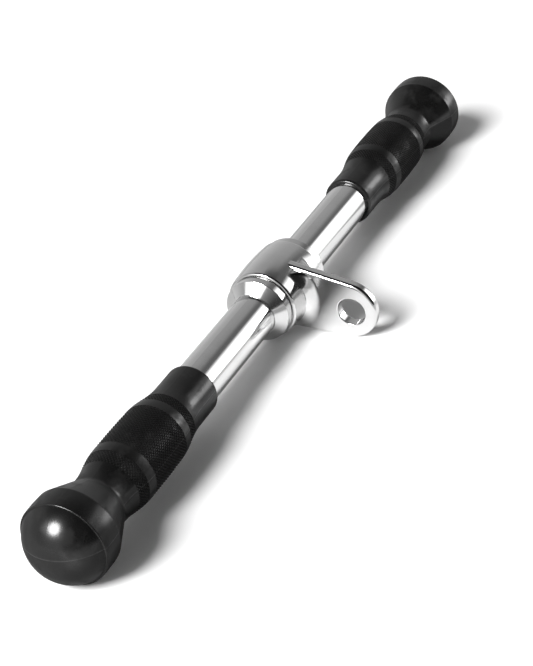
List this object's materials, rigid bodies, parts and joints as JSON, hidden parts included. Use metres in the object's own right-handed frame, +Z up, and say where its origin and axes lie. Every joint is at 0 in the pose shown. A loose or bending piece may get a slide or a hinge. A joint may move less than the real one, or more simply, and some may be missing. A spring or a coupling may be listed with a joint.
{
  "type": "cable crossover bar",
  "caption": "Straight revolving pull bar with rubber knob-end grips on a chrome tube and a turning centre swivel whose flat tab has an eye for a cable hook.",
  "frame": {"origin": "centre of the eye in the swivel's tab, midway through the tab's thickness", "axes": "+X along the bar, +Y across from the eye to the bar's side, +Z up, with the bar lying on its two knobs and the tip of the tab"},
  "size_m": [0.508, 0.0852, 0.0472],
  "materials": {
    "chrome": "polished chrome plate",
    "grip_rubber": "semi-matte moulded rubber with a diamond knurl",
    "plug_plastic": "matte moulded",
    "bush_bronze": "sintered bronze",
    "washer_steel": "ground",
    "screw_steel": "black oxide"
  },
  "bodies": {
    "bar": {"bar_tube": "chrome", "left_grip": "grip_rubber", "left_tube_plug": "plug_plastic", "left_thrust_washer": "washer_steel", "left_collar": "chrome", "left_collar_set_screw": "screw_steel", "right_grip": "grip_rubber", "right_tube_plug": "plug_plastic", "right_thrust_washer": "washer_steel", "right_collar": "chrome", "right_collar_set_screw": "screw_steel"},
    "swivel": {"swivel_body": "chrome", "left_bush": "bush_bronze", "right_bush": "bush_bronze"}
  },
  "joints": [
    {"name": "swivel_turn", "type": "hinge", "parent": "bar", "child": "swivel", "pos_m": [0, 0.04671, 0.00682], "axis": [1, 0, 0], "continuous": true}
  ]
}
